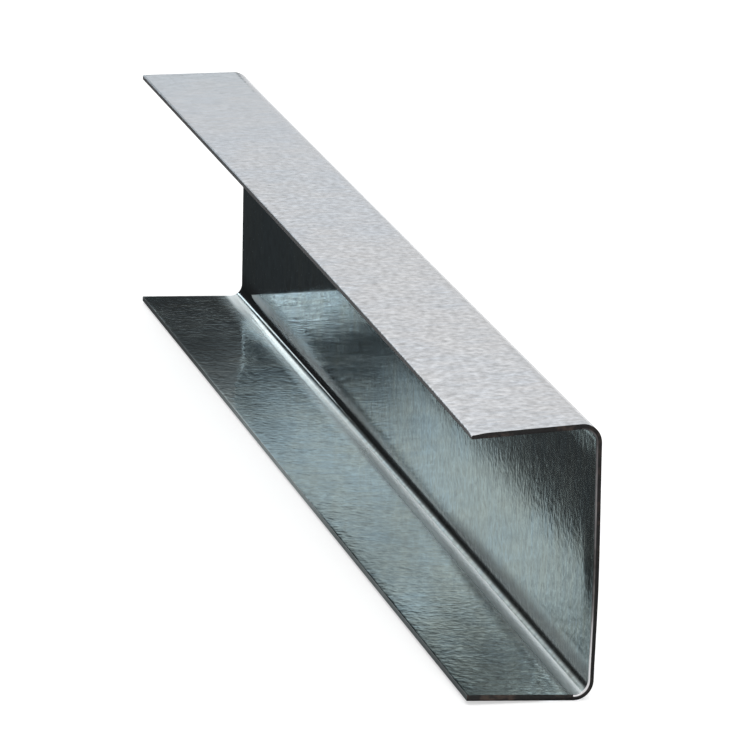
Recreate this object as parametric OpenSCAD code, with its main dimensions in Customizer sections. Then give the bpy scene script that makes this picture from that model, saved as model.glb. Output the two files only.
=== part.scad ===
// Plain cold-formed channel purlin: one strip of galvanised sheet, folded twice and cut to length.
// The piece lies on its bottom flange, with its open side towards -Y and its web upright at +Y.
// The origin is on the floor, at the middle of the length and of the flange width.

/* [Section] */
// Height of the web, over the outside faces of both flanges
web_h = 100; // [60:1:300]
// Width of each flange, from the back of the web to the free edge
flange_w = 46; // [25:0.5:100]
// Thickness of the sheet
sheet_t = 2; // [1:0.1:4]
// Inner radius of both bends
bend_r = 5; // [1:0.5:8]
// Radius that slitting leaves on the corners of both free edges
slit_edge_r = 0.3; // [0.1:0.05:0.45]

/* [Stock] */
// Length of the piece between its two cut ends
length = 600; // [100:10:6000]

/* [Hidden] */
$fn = 96;

galvanised = [0.62, 0.65, 0.67];
// The sheet keeps its thickness round a bend, so both faces share one centre
bend_outer_r = bend_r + sheet_t;
// Back of the web and tips of the flanges, across the section
back_y = flange_w / 2;
tip_y = -flange_w / 2;
// Line where the flat of each flange runs into its bend
flat_end_y = back_y - bend_outer_r;

// The section is drawn across the length: its first axis is Y of the piece and its second is Z.

// Quarter ring of sheet from the flange up to the web, about the bend's centre
module bend_section() {
    translate([flat_end_y, bend_outer_r])
        intersection() {
            difference() {
                circle(r = bend_outer_r);
                circle(r = bend_r);
            }
            translate([0, -bend_outer_r])
                square(bend_outer_r);
        }
}

// Flat of the bottom flange, with both corners of its free edge slightly rounded
module flange_section() {
    translate([tip_y + slit_edge_r, 0])
        square([flat_end_y - tip_y - slit_edge_r, sheet_t]);
    translate([tip_y, slit_edge_r])
        square([slit_edge_r, sheet_t - 2 * slit_edge_r]);
    for (corner_z = [slit_edge_r, sheet_t - slit_edge_r])
        translate([tip_y + slit_edge_r, corner_z])
            circle(r = slit_edge_r);
}

// Flat of the web, between the two bends
module web_section() {
    translate([back_y - sheet_t, bend_outer_r])
        square([sheet_t, web_h - 2 * bend_outer_r]);
}

// The lower bend and flange
module folded_side() {
    bend_section();
    flange_section();
}

// Whole strip, folded: the upper side mirrors the lower one about mid-height
module channel_section() {
    web_section();
    folded_side();
    translate([0, web_h])
        mirror([0, 1])
            folded_side();
}

module channel() {
    color(galvanised)
        translate([-length / 2, 0, 0])
            rotate([90, 0, 90])
                linear_extrude(height = length)
                    channel_section();
}

channel();
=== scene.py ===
import math
import bmesh
import bpy
from mathutils import Matrix, Vector, noise


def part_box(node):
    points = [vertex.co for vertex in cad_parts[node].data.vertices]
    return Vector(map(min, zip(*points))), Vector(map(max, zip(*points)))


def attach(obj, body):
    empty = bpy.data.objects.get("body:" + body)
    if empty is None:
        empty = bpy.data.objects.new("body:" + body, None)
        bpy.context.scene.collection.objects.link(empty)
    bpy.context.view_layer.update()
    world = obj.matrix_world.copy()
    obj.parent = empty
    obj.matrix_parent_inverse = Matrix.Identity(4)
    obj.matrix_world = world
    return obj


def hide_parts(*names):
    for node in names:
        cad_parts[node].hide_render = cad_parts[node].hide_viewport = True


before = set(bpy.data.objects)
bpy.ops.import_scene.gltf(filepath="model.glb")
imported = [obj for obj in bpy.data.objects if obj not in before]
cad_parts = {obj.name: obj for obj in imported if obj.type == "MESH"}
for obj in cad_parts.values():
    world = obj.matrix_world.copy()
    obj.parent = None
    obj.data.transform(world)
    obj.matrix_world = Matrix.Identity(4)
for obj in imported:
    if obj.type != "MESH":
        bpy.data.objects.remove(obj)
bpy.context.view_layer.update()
scene = bpy.context.scene
MM = 0.001

# The true section, read from the frame and from the sheet that it is folded from

low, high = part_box("channel")
FAR_X, TIP_Y, FLOOR_Z = low
NEAR_X, BACK_Y, TOP_Z = high
LENGTH = NEAR_X - FAR_X
FLANGE = BACK_Y - TIP_Y
WEB = TOP_Z - FLOOR_Z
MID_Y = (BACK_Y + TIP_Y) / 2
MID_Z = (TOP_Z + FLOOR_Z) / 2
SHEET = 2 * MM
BEND_R = 5 * MM
OUTER_R = BEND_R + SHEET
BEND_Y = BACK_Y - OUTER_R
LOW_BEND_Z = FLOOR_Z + OUTER_R
TOP_BEND_Z = TOP_Z - OUTER_R

# How fine the strip's mesh is, and how its edges are rounded

BEND_STEPS = 16
WEB_CUTS = 31
FLANGE_CUTS = 15
LENGTH_CUTS = 149
# Extra rings close to the near cut and to the free edges, for what the shear did there
CORNER_RINGS = (1 * MM, 2.2 * MM, 3.6 * MM)
EDGE_R = 0.2 * MM
EDGE_STEPS = 2
SLIT_R = 0.5 * MM
ROLLED_R = 0.6 * MM
ROLLED_STEPS = 3
# Edges between faces that turn by more than this are the sheet's own, and not steps of a bend
SHARP_ANGLE = math.radians(60)
# Two faces look the same way where their normals' share along it is above this
SQUARE_ON = 0.9
# Old points closer than this to a new ring become part of it
SAME_PLACE = 1e-6

# The white floor, and the glow that it has only where it is seen

FLOOR_COLOUR = (0.85, 0.85, 0.85, 1)
FLOOR_GLOW = 0.55

# Places in the list of finishes

OUTSIDE, INSIDE, CUT, ROLLED, SLIT = range(5)

# How this length differs from the true section: degrees, at its far and near cut ends

TOP_TOE_IN = (0.44, 3.6)
BOTTOM_TOE_IN = (1.31, 1.89)
SECTION_TURN = (0.0, -0.30)
CUT_PLAN_SKEW = (-0.22, -0.43)
CUT_LEAN = (0.90, -0.17)
# The top flange's toe-in comes mostly at the near end: the higher this power, the later
TOP_TOE_POWER = 4
# How much wider the slit strip left each flange
TOP_WIDER = 0.3 * MM
BOTTOM_WIDER = -0.7 * MM
# The near cut end pushed its web out, most at this height and fading along this length
WEB_BOW = 0.6 * MM
WEB_BOW_Z = 42 * MM
WEB_BOW_LENGTH = 11 * MM
# Its top free corner is knocked down, and the shear left a ragged line
CORNER_DROP = 0.5 * MM
CORNER_REACH = 6 * MM
RAGGED = 0.12 * MM
RAGGED_SCALE = 420.0

# Patterns of the zinc coat, in waves per metre: even ones, and ones drawn out along an axis of (x, y, z)

GRAIN_SCALE = 330.0
PEEL_SCALE = 380.0
SWELL_SCALE = 130.0
PATCH_SCALE = 26.0
SMUDGE_SCALE = 4 * PATCH_SCALE
ROLL_MARKS = (8.0, 900.0, 900.0)
TINTS = (420.0, 60.0, 60.0)
HAIRS = (900.0, 130.0, 130.0)

# How high the hammered-looking peel and the broad swell under it stand

PEEL_DEPTH = 0.00009
SWELL_DEPTH = 0.00013

# How much each pattern lightens and darkens the zinc, as a share of its brightness

HAIR_CONTRAST = 0.5
SMUDGE_CONTRAST = 0.18
ROLL_CONTRAST = 0.05
RUBBED_CONTRAST = 0.05
# How far handling rubbed the sheet at its cut ends and at its free edges
RUBBED_END = 4 * MM
RUBBED_TIP = 2.5 * MM

# Stretches of the length: the x where something starts, and the x where it is full

MARKED = (-0.30, -0.05)
# Where the cooler, darker painted reflection of the far end fades out
PAINTED_REFLECTION_FADES = (-0.25, 0.20)
PEELED_OUTSIDE = (-0.25, -0.05)
NEAR_PART = (-0.06, 0.16)
FAR_RIPPLES = (-0.22, -0.27)
FAR_SATIN = (-0.20, -0.24)
FAR_FOOT = (-0.15, -0.25)
# Stretches where the highlight painted round the bends brightens, at the near end and at the far end
HIGHLIGHT_NEAR_END = (-0.10, 0.06)
HIGHLIGHT_FAR_END = (-0.25, -0.28)
EASED_STRETCH = (-0.10, 0.20)
# Stretches where the shade painted at the web's foot thins, thickens and deepens
PAINTED_SHADE_THINS = (-0.10, 0.0)
PAINTED_SHADE_THICKENS = (0.16, 0.06)
PAINTED_SHADE_DEEPENS = (0.05, 0.14)

# Share of the peel on the hollow side: on the web's far half, on the flanges, and added at their far tip
WEB_PEEL = 0.03
FLANGE_PEEL = 0.5
FAR_TIP_PEEL = 1.1
# Shading of its form: how high the web and the flanges run out of the bends, and how a flange is dished
EASED_WEB = 1 * MM
EASED_FLANGE = 0.35 * MM
DISHED = 0.042
DISH_Y = -8 * MM
DISH_SOFTNESS = 10 * MM
# Pale zinc colour of the highlight painted round the inner bends
PAINTED_BEND_HIGHLIGHT = (0.86, 0.91, 0.92)
# Painted shade at the web's foot: how far it darkens the zinc, and how its upper limit frays, thins and
# deepens
PAINTED_SHADE_DARKNESS = 0.8
PAINTED_SHADE_FRAY = 4 * MM
PAINTED_SHADE_THINNING = 3.5 * MM
PAINTED_SHADE_DEEPENING = 2.5 * MM

# Torn steel of the cuts, and the zinc dragged over the slit edges

TEAR_SCALE = 900.0
TEAR_DEPTH = 0.0002
RUST_SCALE = 160.0
BROKEN_SCALE = 110.0
DRAG_MARKS = (60.0, 900.0, 900.0)


class Wire:
    """A shader socket that does maths: each operator adds the node for it."""

    def __init__(self, tree, socket):
        self.tree = tree
        self.socket = socket

    def math(self, operation, *others):
        node = self.tree.add("ShaderNodeMath", {"operation": operation}, dict(enumerate((self, *others))))
        return node.out()

    def __add__(self, other):
        return self.math("ADD", other)

    def __sub__(self, other):
        return self.math("SUBTRACT", other)

    def __mul__(self, other):
        return self.math("MULTIPLY", other)

    def __rsub__(self, other):
        node = self.tree.add("ShaderNodeMath", {"operation": "SUBTRACT"}, {0: other, 1: self})
        return node.out()

    __radd__ = __add__
    __rmul__ = __mul__

    def rise(self, start, end):
        """0 before start and 1 past end, with a soft run between them; start may be the higher one."""
        if start > end:
            return 1 - self.rise(end, start)
        node = self.tree.add("ShaderNodeMapRange", {"interpolation_type": "SMOOTHSTEP"},
                             {"Value": self, "From Min": start, "From Max": end})
        return node.out()


class Node:
    """One shader node, with its outputs as wires."""

    def __init__(self, tree, node):
        self.tree = tree
        self.node = node

    def out(self, name=0):
        return Wire(self.tree, self.node.outputs[name])


class Shader:
    """The node tree of a material or of the world."""

    def __init__(self, owner):
        owner.use_nodes = True
        self.nodes = owner.node_tree.nodes
        self.links = owner.node_tree.links
        self.nodes.clear()

    def add(self, kind, settings=None, sockets=None):
        node = self.nodes.new(kind)
        for name, value in (settings or {}).items():
            if name == "stops":
                self.set_stops(node.color_ramp, value)
            else:
                setattr(node, name, value)
        for name, value in (sockets or {}).items():
            if isinstance(value, Wire):
                self.links.new(value.socket, node.inputs[name])
            else:
                node.inputs[name].default_value = value
        return Node(self, node)

    def set_stops(self, ramp, stops):
        while len(ramp.elements) < len(stops):
            ramp.elements.new(0.5)
        for element, (place, colour) in zip(ramp.elements, stops):
            element.position = place
            element.color = (*colour, 1)

    def place(self):
        return self.add("ShaderNodeTexCoord").out("Object")

    def axes(self, vector):
        parts = self.add("ShaderNodeSeparateXYZ", {}, {0: vector})
        return parts.out("X"), parts.out("Y"), parts.out("Z")

    def clouds(self, vector, scale, detail=2.0, roughness=0.5):
        """Soft noise from about 0.2 to 0.8."""
        return self.add("ShaderNodeTexNoise", {"noise_dimensions": "3D"}, {
            "Vector": vector, "Scale": scale, "Detail": detail, "Roughness": roughness}).out("Fac")

    def drawn(self, vector, factors):
        """The place with each axis scaled, so that a pattern runs long where its factor is small."""
        scaled = self.add("ShaderNodeVectorMath", {"operation": "MULTIPLY"}, {0: vector, 1: factors})
        return scaled.out("Vector")

    def mix(self, factor, first, second):
        sockets = {"Factor": factor, 6: first, 7: second}
        colours = {name: (*value, 1) if isinstance(value, tuple) else value
                   for name, value in sockets.items()}
        node = self.add("ShaderNodeMix", {"data_type": "RGBA"}, colours)
        return node.out(2)

    def tinted(self, colour, brightness):
        """A colour made lighter or darker by a value."""
        scale = self.add("ShaderNodeVectorMath", {"operation": "SCALE"}, {"Scale": brightness, 0: colour})
        return scale.out("Vector")

    def surface(self, sockets):
        shader = self.add("ShaderNodeBsdfPrincipled", {}, sockets)
        self.add("ShaderNodeOutputMaterial", {}, {"Surface": shader.out("BSDF")})


def wear_hollow_side(tree, axes, smudges, hairs, zinc):
    """What only the hollow side has: a calmer peel, eased bends with a highlight painted round them, and
    painted shade at the web's foot.
    """
    along, across, up = axes
    colour, rough, relief = zinc
    off_middle = (up - MID_Z).math("ABSOLUTE")
    past_flat = across - BEND_Y
    on_web = past_flat.rise(1 * MM, 4 * MM)
    near_part = along.rise(*NEAR_PART)

    # The peel is calmest on the far half of the web, and strongest at the flanges' far end
    web_relief = WEB_PEEL + (1 - WEB_PEEL) * near_part
    flange_relief = FLANGE_PEEL + FAR_TIP_PEEL * along.rise(*FAR_RIPPLES)
    relief = relief * (flange_relief + on_web * (web_relief - flange_relief))

    # The flanges are dullest at their far end, close to the bend, and the web dulls towards its near end
    soft_foot = past_flat.rise(-9 * MM, -3 * MM) * past_flat.rise(1 * MM, -1 * MM) * along.rise(*FAR_FOOT)
    flange_rough = 0.02 + 0.03 * along.rise(*FAR_SATIN) + 0.12 * soft_foot
    rough = rough + (1 - on_web) * flange_rough + on_web * (0.01 + 0.07 * near_part)

    # A highlight painted round each inner bend as a pale, rougher line, brightest at the strip's two ends
    highlight_at_ends = along.rise(*HIGHLIGHT_NEAR_END) + along.rise(*HIGHLIGHT_FAR_END)
    near_flange = off_middle.rise(WEB / 2 - 5 * MM, WEB / 2 - 4 * MM)
    line = near_flange * past_flat.rise(-3.5 * MM, 0.0) * past_flat.rise(2.9 * MM, 2.3 * MM)
    colour = tree.mix(line * (0.6 + 0.4 * highlight_at_ends), colour, PAINTED_BEND_HIGHLIGHT)
    rough = rough + line * (0.1 + 0.26 * highlight_at_ends)

    # The press eased each bend out into the web and the flange, and dished the flange
    web_end = off_middle.rise(WEB / 2 - 15 * MM, WEB / 2 - 3 * MM)
    web_ease = web_end * (EASED_WEB * along.rise(*EASED_STRETCH))
    flange_ease = past_flat.rise(-5 * MM, 2.5 * MM) * (EASED_FLANGE * (1 - 0.8 * near_part))
    dish = (across - DISH_Y).math("SMOOTH_MAX", 0.0, DISH_SOFTNESS) * DISHED
    relief = relief + web_ease + flange_ease + dish

    # Shade painted along the foot of the web, thinner about the middle and deeper towards the near end
    frayed = (smudges - 0.5 + hairs) * PAINTED_SHADE_FRAY
    thinner = along.rise(*PAINTED_SHADE_THINS) * along.rise(*PAINTED_SHADE_THICKENS) * PAINTED_SHADE_THINNING
    depth = MID_Z - up + frayed - thinner + along.rise(*PAINTED_SHADE_DEEPENS) * PAINTED_SHADE_DEEPENING
    painted_foot_shade = depth.rise(WEB / 2 - 15 * MM, WEB / 2 - OUTER_R) * past_flat.rise(3 * MM, 4.3 * MM)
    colour = tree.tinted(colour, 1 - PAINTED_SHADE_DARKNESS * painted_foot_shade)
    return colour, rough, relief


def finish_galvanised(name, cool, warm, roughness, peel, grain_contrast, dent_contrast, hollow_side):
    """Zinc-coated sheet: grains of zinc, a hammered-looking peel, patches from a cool to a warm grey, and a
    cooler painted reflection at the far end.
    """
    material = bpy.data.materials.new(name)
    tree = Shader(material)
    place = tree.place()
    axes = tree.axes(place)
    along, across, up = axes

    patches = tree.clouds(place, PATCH_SCALE, 3.0, 0.6).rise(0.35, 0.65)
    smudges = tree.clouds(place, SMUDGE_SCALE, 3.0, 0.65)
    grains = tree.add("ShaderNodeTexVoronoi", {"feature": "F1"}, {"Vector": place, "Scale": GRAIN_SCALE})
    grain, sheen, _ = tree.axes(grains.out("Color"))
    dents = tree.clouds(place, PEEL_SCALE, 1.0)
    swell = tree.clouds(place, SWELL_SCALE, 1.0)
    roll_marks = tree.clouds(tree.drawn(place, ROLL_MARKS), 1.0) - 0.5
    tints = tree.clouds(tree.drawn(place, TINTS), 1.0) - 0.5
    hairs = tree.clouds(tree.drawn(place, HAIRS), 1.0) - 0.5

    rubbed_end = along.math("ABSOLUTE").rise(LENGTH / 2 - RUBBED_END, LENGTH / 2)
    rubbed_tip = across.rise(TIP_Y + RUBBED_TIP, TIP_Y)
    rubbed = rubbed_end.math("MAXIMUM", rubbed_tip) * smudges.rise(0.4, 0.62)

    # Random patches and streaks of cool and warm grey, and a painted reflection that is cooler and darker
    # towards the far end
    warmth_and_painted_reflection = (0.45 * patches + 0.55 * along.rise(*PAINTED_REFLECTION_FADES) + 1.6 * tints).rise(-0.2, 1.2)
    marks = grain_contrast * (grain - 0.5) + along.rise(*MARKED) * (
        dent_contrast * (dents - 0.5) + HAIR_CONTRAST * hairs)
    brightness = (1 + marks + SMUDGE_CONTRAST * (smudges - 0.5) + ROLL_CONTRAST * roll_marks
                  + RUBBED_CONTRAST * rubbed)
    colour = tree.tinted(tree.mix(warmth_and_painted_reflection, cool, warm), brightness)
    rough = roughness + 0.04 * (sheen - 0.5) + 0.05 * (patches - 0.5) * smudges + 0.06 * rubbed

    # The peel is nearly gone round the bends
    past_web = (up - MID_Z).math("ABSOLUTE") - (WEB / 2 - OUTER_R)
    bend = past_web.rise(0.0, 2 * MM) * across.rise(BEND_Y, BEND_Y + 2 * MM)
    relief = (dents * (PEEL_DEPTH * peel) + swell * (SWELL_DEPTH * (peel - 0.6))) * (1 - 0.8 * bend)

    if hollow_side:
        colour, rough, relief = wear_hollow_side(tree, axes, smudges, hairs, (colour, rough, relief))
    else:
        relief = relief * (0.5 + 0.5 * along.rise(*PEELED_OUTSIDE))
    bump = tree.add("ShaderNodeBump", {}, {"Strength": 1.0, "Distance": 1.0, "Height": relief})
    tree.surface({"Base Color": colour, "Metallic": 1.0, "Roughness": rough, "Normal": bump.out("Normal")})
    return material


def finish_cut_steel():
    """Bare steel where the sheet was sheared: dark and torn, with a breath of brown rust."""
    material = bpy.data.materials.new("cut_steel")
    tree = Shader(material)
    place = tree.place()
    tears = tree.clouds(place, TEAR_SCALE, 3.0, 0.7)
    rust = tree.clouds(place, RUST_SCALE, 4.0, 0.6).rise(0.5, 0.7)
    steel = tree.mix(tears, (0.014, 0.014, 0.015), (0.046, 0.044, 0.043))
    bump = tree.add("ShaderNodeBump", {}, {"Strength": 1.0, "Distance": 1.0, "Height": tears * TEAR_DEPTH})
    tree.surface({
        "Base Color": tree.mix(rust * 0.6, steel, (0.075, 0.045, 0.032)),
        "Metallic": 1 - 0.6 * rust,
        "Roughness": 0.45 + 0.3 * tears,
        "Normal": bump.out("Normal"),
    })
    return material


def finish_slit_edge():
    """The free edges, dark on the top flange, and with pale zinc dragged over the bottom one."""
    material = bpy.data.materials.new("slit_edge")
    tree = Shader(material)
    place = tree.place()
    along, _, up = tree.axes(place)
    dragged = tree.clouds(tree.drawn(place, DRAG_MARKS), 1.0, 3.0, 0.7)
    # Palest about the middle of the length
    tone = 0.08 + 0.34 * along.rise(-0.22, -0.04) - 0.2 * along.rise(0.0, 0.1) - 0.1 * along.rise(0.15, 0.3)
    on_bottom = up.rise(MID_Z + 10 * MM, MID_Z - 10 * MM)
    covered = tree.mix(on_bottom, (0.09, 0.09, 0.093), tree.tinted((0.88, 1.0, 1.02), tone))
    tree.surface({
        "Base Color": tree.tinted(covered, 0.7 + 0.6 * dragged),
        "Metallic": 0.15,
        "Roughness": 0.45 + 0.2 * dragged,
    })
    return material


def finish_rolled_edge():
    """The inner edge of the near cut, rolled over by the shear: zinc dragged over it, most near the foot."""
    material = bpy.data.materials.new("rolled_edge")
    tree = Shader(material)
    place = tree.place()
    _, _, up = tree.axes(place)
    broken = tree.clouds(place, BROKEN_SCALE, 3.0, 0.6).rise(0.3, 0.7)
    height = up - MID_Z
    upper = height.rise(0.0, 12 * MM) * height.rise(42 * MM, 20 * MM)
    cover = height.rise(-10 * MM, -38 * MM) * 0.85 + upper * 0.08 + broken * 0.12
    tree.surface({
        "Base Color": tree.mix(cover, (0.06, 0.055, 0.055), (0.72, 0.71, 0.72)),
        "Metallic": 1.0,
        "Roughness": 0.42 - 0.15 * cover,
    })
    return material


def folded_strip():
    """The true section as one folded line, drawn along the length and given the sheet's thickness."""
    strip = bmesh.new()
    corners = ((TIP_Y, FLOOR_Z), (BACK_Y, FLOOR_Z), (BACK_Y, TOP_Z), (TIP_Y, TOP_Z))
    line = [strip.verts.new((FAR_X, y, z)) for y, z in corners]
    for start, end in zip(line, line[1:]):
        strip.edges.new((start, end))
    bmesh.ops.bevel(strip, geom=line[1:3], offset=OUTER_R, offset_type="OFFSET",
                    segments=BEND_STEPS, profile=0.5, affect="VERTICES", material=-1)
    flats = [edge for edge in strip.edges if edge.calc_length() > FLANGE / 2]
    for flat in flats:
        cuts = WEB_CUTS if flat.calc_length() > WEB / 2 else FLANGE_CUTS
        bmesh.ops.subdivide_edges(strip, edges=[flat], cuts=cuts)
    drawn = bmesh.ops.extrude_edge_only(strip, edges=strip.edges[:])
    near_end = [part for part in drawn["geom"] if isinstance(part, bmesh.types.BMVert)]
    bmesh.ops.translate(strip, verts=near_end, vec=(LENGTH, 0, 0))
    along = [edge for edge in strip.edges if edge.calc_length() > LENGTH / 2]
    bmesh.ops.subdivide_edges(strip, edges=along, cuts=LENGTH_CUTS, use_grid_fill=True)
    bmesh.ops.recalc_face_normals(strip, faces=strip.faces[:])
    bmesh.ops.solidify(strip, geom=strip.faces[:], thickness=SHEET)
    return strip


def add_rings(strip):
    for inset in CORNER_RINGS:
        for spot, way in (((NEAR_X - inset, 0, 0), (1, 0, 0)), ((0, TIP_Y + inset, 0), (0, 1, 0))):
            everything = strip.verts[:] + strip.edges[:] + strip.faces[:]
            bmesh.ops.bisect_plane(strip, geom=everything, dist=SAME_PLACE, plane_co=spot, plane_no=way)


def on_inside(spot):
    """Whether a point of the true section lies past the middle of the sheet, on its hollow side."""
    if spot.y > BEND_Y and not LOW_BEND_Z < spot.z < TOP_BEND_Z:
        bend_z = LOW_BEND_Z if spot.z < MID_Z else TOP_BEND_Z
        return math.hypot(spot.y - BEND_Y, spot.z - bend_z) < BEND_R + SHEET / 2
    return spot.y < BACK_Y - SHEET / 2 and FLOOR_Z + SHEET / 2 < spot.z < TOP_Z - SHEET / 2


def mark_cuts(strip):
    """The sheet is cut through on its two ends and along the free edge of each flange."""
    for face in strip.faces:
        middle = face.calc_center_median()
        end_cut = abs(face.normal.x) > SQUARE_ON
        slit = face.normal.y < -SQUARE_ON and middle.y < TIP_Y + SHEET / 2
        face.material_index = CUT if end_cut else SLIT if slit else INSIDE if on_inside(middle) else OUTSIDE


def sharp_edges(strip):
    return [edge for edge in strip.edges if edge.calc_face_angle() > SHARP_ANGLE]


def round_over(strip, edges, radius, steps, finish):
    """Rounds these edges over in one of the finishes, and returns the new faces."""
    shaped = bmesh.ops.bevel(strip, geom=edges, offset=radius, offset_type="OFFSET", segments=steps,
                             profile=0.5, affect="EDGES", material=finish, clamp_overlap=True)
    return shaped["faces"]


def soften_edges(strip):
    """Rolls the near cut's inner edge over, rounds the top slit edge, and softens all the others."""
    inner = [edge for edge in sharp_edges(strip)
             if all(vert.co.x > NEAR_X - EDGE_R and on_inside(vert.co) for vert in edge.verts)]
    for face in round_over(strip, inner, ROLLED_R, ROLLED_STEPS, CUT):
        if face.calc_center_median().y > BEND_Y:
            face.material_index = ROLLED
    top_slit = [edge for edge in sharp_edges(strip)
                if all(vert.co.y < TIP_Y + EDGE_R and vert.co.z > TOP_Z - EDGE_R for vert in edge.verts)]
    round_over(strip, top_slit, SLIT_R, ROLLED_STEPS, OUTSIDE)
    # What is softened along a free edge was slit, and the rest was cut
    for face in round_over(strip, sharp_edges(strip), EDGE_R, EDGE_STEPS, CUT):
        if face.calc_center_median().y < TIP_Y + EDGE_R and abs(face.normal.x) < 0.5:
            face.material_index = SLIT


def between(ends, share):
    """A value that runs evenly from the far end to the near end."""
    return ends[0] + (ends[1] - ends[0]) * share


def turned(y, z, centre_y, centre_z, degrees):
    """A point of the section, turned about a centre; the flanges' free side goes down as it grows."""
    turn = Matrix.Rotation(math.radians(degrees), 2)
    spot = turn @ Vector((y - centre_y, z - centre_z))
    return centre_y + spot.x, centre_z + spot.y


def fold_share(y, z, bend_z):
    """How much of a bend lies between the web and this point: none on the web, all on the flange."""
    if y <= BEND_Y:
        return 1.0
    return math.atan2(abs(z - bend_z), y - BEND_Y) / (math.pi / 2)


def smooth(share):
    share = min(max(share, 0.0), 1.0)
    return share * share * (3 - 2 * share)


def sheared(x, y, z):
    """The near cut's knocked-down corner, and the ragged line of both cuts."""
    reach = math.hypot(NEAR_X - x, y - TIP_Y)
    from_below = (z - (TOP_Z - SHEET)) / SHEET
    if from_below > 0:
        z -= CORNER_DROP * smooth(1 - reach / CORNER_REACH) * smooth(from_below)
    if min(NEAR_X - x, x - FAR_X) < ROLLED_R / 2:
        x += RAGGED * noise.noise(Vector((x, y, z)) * RAGGED_SCALE)
    return x, y, z


def as_made(point):
    """Where a point of the true section lies on this length, with its toed-in flanges and cut ends."""
    x, y, z = sheared(*point)
    share = min(max((x - FAR_X) / LENGTH, 0.0), 1.0)
    height = (z - FLOOR_Z) / WEB
    out = max(BEND_Y - y, 0.0) / (BEND_Y - TIP_Y)
    if z > TOP_BEND_Z:
        toe = between(TOP_TOE_IN, share ** TOP_TOE_POWER) * fold_share(y, z, TOP_BEND_Z)
        y, z = turned(y - TOP_WIDER * out, z, BEND_Y, TOP_BEND_Z, toe)
    elif z < LOW_BEND_Z:
        toe = between(BOTTOM_TOE_IN, share) * fold_share(y, z, LOW_BEND_Z)
        y, z = turned(y - BOTTOM_WIDER * out, z, BEND_Y, LOW_BEND_Z, -toe)
    peak = WEB_BOW_Z / WEB
    hat = height / peak if height < peak else (1 - height) / (1 - peak)
    y += WEB_BOW * smooth(hat) * smooth((x - NEAR_X + WEB_BOW_LENGTH) / WEB_BOW_LENGTH)
    y, z = turned(y, z, BACK_Y, MID_Z, between(SECTION_TURN, share))
    x -= (y - MID_Y) * math.tan(math.radians(between(CUT_PLAN_SKEW, share)))
    x -= (z - MID_Z) * math.tan(math.radians(between(CUT_LEAN, share)))
    return x, y, z


def settle(strip):
    """Puts the strip's lowest point back on the floor."""
    down = FLOOR_Z - min(vert.co.z for vert in strip.verts)
    bmesh.ops.translate(strip, verts=strip.verts[:], vec=(0, 0, down))


def make_channel(finishes):
    strip = folded_strip()
    add_rings(strip)
    mark_cuts(strip)
    soften_edges(strip)
    for vert in strip.verts:
        vert.co = as_made(vert.co)
    settle(strip)
    for face in strip.faces:
        face.smooth = True
    mesh = bpy.data.meshes.new("channel_sheet")
    strip.to_mesh(mesh)
    strip.free()
    for finish in finishes:
        mesh.materials.append(finish)
    piece = bpy.data.objects.new("channel_sheet", mesh)
    scene.collection.objects.link(piece)
    shading = piece.modifiers.new("flat_faces_lead", "WEIGHTED_NORMAL")
    shading.keep_sharp = True
    return piece


def make_camera(azimuth, elevation, roll, distance, aim, lens):
    """Stands back from the aim along the view, as azimuth 0 looks along +Y and 90 along -X."""
    turn = math.radians(azimuth)
    rise = math.radians(elevation)
    back = Vector((math.sin(turn) * math.cos(rise), -math.cos(turn) * math.cos(rise), math.sin(rise)))
    data = bpy.data.cameras.new("camera")
    data.sensor_width = 36
    data.lens = lens
    data.clip_start = 0.05
    data.clip_end = 100
    camera = bpy.data.objects.new("camera", data)
    scene.collection.objects.link(camera)
    level = (-back).to_track_quat("-Z", "Y").to_matrix().to_4x4()
    camera.matrix_world = (Matrix.Translation(Vector(aim) + back * distance) @ level
                           @ Matrix.Rotation(math.radians(roll), 4, "Z"))
    scene.camera = camera


def seen_directly(tree):
    """1 on rays that show the background itself: to the camera, in a reflection or through glass."""
    path = tree.add("ShaderNodeLightPath")
    seen = path.out("Is Camera Ray") + path.out("Is Glossy Ray") + path.out("Is Transmission Ray")
    return seen.math("MINIMUM", 1.0)


def make_world(strength):
    world = bpy.data.worlds.new("studio")
    scene.world = world
    tree = Shader(world)
    seen = seen_directly(tree)
    light = seen * (1 - strength) + strength
    sky = tree.add("ShaderNodeBackground", {}, {"Color": (1, 1, 1, 1), "Strength": light})
    tree.add("ShaderNodeOutputWorld", {}, {"Surface": sky.out()})


def make_floor(size):
    """White ground that lifts its own brightness where it is seen, and keeps the shadow."""
    plane = bmesh.new()
    bmesh.ops.create_grid(plane, x_segments=1, y_segments=1, size=size / 2)
    bmesh.ops.translate(plane, verts=plane.verts[:], vec=(0, 0, FLOOR_Z))
    mesh = bpy.data.meshes.new("studio_floor")
    plane.to_mesh(mesh)
    plane.free()
    floor = bpy.data.objects.new("studio_floor", mesh)
    scene.collection.objects.link(floor)
    material = bpy.data.materials.new("white_floor")
    tree = Shader(material)
    matt = tree.add("ShaderNodeBsdfDiffuse", {}, {"Color": FLOOR_COLOUR})
    lift = seen_directly(tree) * FLOOR_GLOW
    glow = tree.add("ShaderNodeEmission", {}, {"Color": (1, 1, 1, 1), "Strength": lift})
    both = tree.add("ShaderNodeAddShader", {}, {0: matt.out(), 1: glow.out()})
    tree.add("ShaderNodeOutputMaterial", {}, {"Surface": both.out()})
    mesh.materials.append(material)


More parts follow.
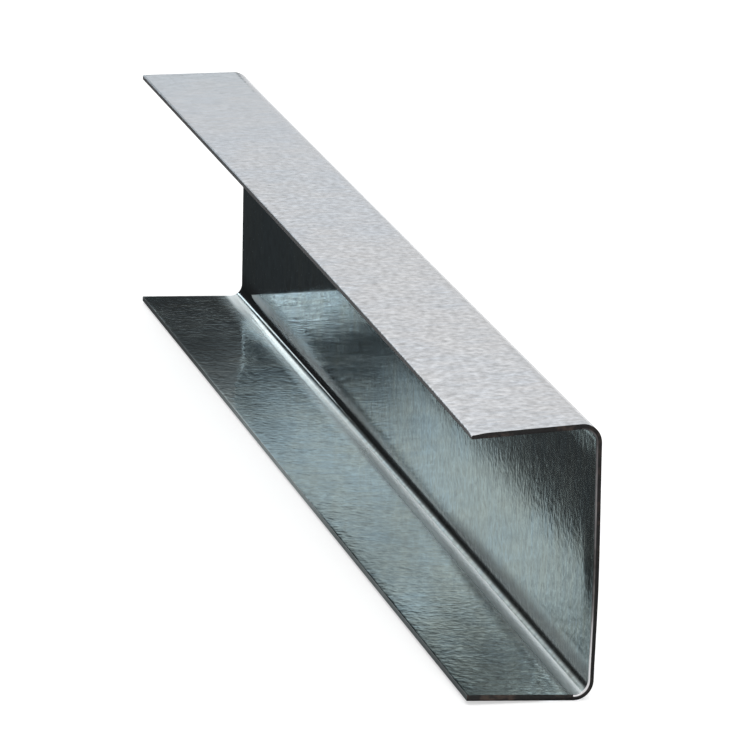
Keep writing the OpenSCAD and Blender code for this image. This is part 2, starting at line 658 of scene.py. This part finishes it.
def make_card(name, corners, axis, tones, colour=(1.0, 1.0, 1.0)):
    """A flat card seen only in reflections; its tones are (place on the axis, brightness) pairs."""
    card = bmesh.new()
    card.faces.new([card.verts.new(corner) for corner in corners])
    mesh = bpy.data.meshes.new(name)
    card.to_mesh(mesh)
    card.free()
    piece = bpy.data.objects.new(name, mesh)
    scene.collection.objects.link(piece)
    material = bpy.data.materials.new(name)
    tree = Shader(material)
    spot = tree.axes(tree.place())["XYZ".index(axis)]
    start, end = tones[0][0], tones[-1][0]
    brightest = max(tone for _, tone in tones)
    stops = [((at - start) / (end - start), (tone / brightest,) * 3) for at, tone in tones]
    share = (spot - start) * (1 / (end - start))
    ramp = tree.add("ShaderNodeValToRGB", {"stops": stops}, {"Fac": share})
    strength = ramp.out("Color") * brightest
    glow = tree.add("ShaderNodeEmission", {}, {"Color": (*colour, 1), "Strength": strength})
    tree.add("ShaderNodeOutputMaterial", {}, {"Surface": glow.out()})
    mesh.materials.append(material)
    piece.visible_camera = False
    piece.visible_diffuse = False
    piece.visible_shadow = False
    piece.visible_transmission = False


def upright(x, y_range, z_range):
    """Corners of a card that stands across the length at this x."""
    (y0, y1), (z0, z1) = y_range, z_range
    return ((x, y0, z0), (x, y1, z0), (x, y1, z1), (x, y0, z1))


def lying(z, x_range, y_range):
    """Corners of a card that lies at this height."""
    (x0, x1), (y0, y1) = x_range, y_range
    return ((x0, y0, z), (x1, y0, z), (x1, y1, z), (x0, y1, z))


def make_softbox(name, place, aim, size, power):
    data = bpy.data.lights.new(name, "AREA")
    data.shape = "RECTANGLE"
    data.size, data.size_y = size
    data.energy = power
    lamp = bpy.data.objects.new(name, data)
    scene.collection.objects.link(lamp)
    lamp.location = place
    lamp.rotation_euler = (Vector(aim) - Vector(place)).to_track_quat("-Z", "Y").to_euler()


# The photograph's own view, in a plain white studio

make_camera(azimuth=77.038, elevation=14.1325, roll=1.2267, distance=2.70891, aim=(0, 0.00735, 0.0463),
            lens=343.838)
make_world(strength=0.5)
make_floor(size=40)
make_softbox("overhead", place=(0, 0, 1.6), aim=(0, 0, 0), size=(2.0, 2.0), power=12)

# Cards that the metal reflects: two lie on the floor, and the others stand past its far end

COOL_WHITE = (0.96, 1.0, 1.01)
COOLER_WHITE = (0.95, 1.0, 1.0)
FAR_CARDS_X = -0.6
FAR_CARDS_TOP = 0.34

make_card("floor_dark", lying(0.0005, (-0.9, 0.301), (-0.32, 0.0225)), "Y",
          ((-0.32, 1.0), (-0.17, 0.05), (0.0225, 0.03)), (0.9, 0.97, 1.0))
make_card("floor_behind", lying(0.001, (-0.6, 0.6), (BACK_Y, 0.45)), "Y", ((0.02, 0.3), (0.45, 1.0)))
make_card("far_dark", upright(FAR_CARDS_X, (0.03, 0.105), (0.0, 0.162)), "Z",
          ((0, 0.03), (0.09, 0.03), (0.105, 0.07), (0.125, 0.2), (0.162, 0.9)), COOLER_WHITE)
make_card("far_glow", upright(FAR_CARDS_X, (-0.032, 0.03), (0.0, FAR_CARDS_TOP)), "Z",
          ((0, 0.03), (0.085, 0.035), (0.096, 1.7), (0.143, 1.6), (0.158, 0.8), (0.175, 0.42), (0.210, 0.3),
           (0.245, 0.4), (0.275, 0.6), (0.31, 0.8), (0.34, 0.8)), COOLER_WHITE)
make_card("horizon", upright(-3.0, (-0.1, 2.0), (0.0, 1.6)), "Z",
          ((0.0, 0.75), (0.40, 0.75), (0.50, 0.78), (0.66, 0.82), (0.82, 0.76), (0.96, 0.9), (1.6, 0.95)))
make_card("bright_stripe", upright(FAR_CARDS_X, (-0.135, -0.032), (0.0, FAR_CARDS_TOP)), "Z",
          ((0.0, 0.04), (0.065, 0.04), (0.071, 2.3), (0.079, 2.3), (0.085, 0.25), (0.092, 0.06),
           (0.114, 0.05), (0.124, 0.24), (0.138, 0.55), (0.150, 0.72), (0.165, 0.76), (0.194, 0.55),
           (0.225, 0.6), (0.25, 0.65), (0.27, 0.9), (0.34, 1.2)), COOL_WHITE)
# Half a millimetre behind the others, where it overlaps them
make_card("striped_light", upright(FAR_CARDS_X - 0.5 * MM, (-0.6, -0.042), (0.0, 0.6)), "Z",
          ((0.0, 0.035), (0.05, 0.045), (0.07, 0.09), (0.09, 0.14), (0.105, 0.18), (0.12, 0.22),
           (0.13, 0.34), (0.138, 0.55), (0.150, 0.78), (0.165, 0.82), (0.178, 0.72), (0.192, 0.71),
           (0.205, 0.75), (0.218, 0.84), (0.230, 0.72), (0.242, 0.45), (0.254, 0.19), (0.29, 0.15),
           (0.305, 1.1), (0.6, 1.2)), COOL_WHITE)

channel = make_channel([
    finish_galvanised("galvanised_outside", cool=(0.53, 0.585, 0.655), warm=(0.60, 0.605, 0.62),
                      roughness=0.14, peel=2.4, grain_contrast=0.12, dent_contrast=1.15, hollow_side=False),
    finish_galvanised("galvanised_inside", cool=(0.47, 0.595, 0.655), warm=(0.555, 0.615, 0.59),
                      roughness=0.06, peel=1.0, grain_contrast=0.26, dent_contrast=0.7, hollow_side=True),
    finish_cut_steel(),
    finish_rolled_edge(),
    finish_slit_edge(),
])
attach(channel, "root")
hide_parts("channel")

scene.view_settings.view_transform = "Standard"
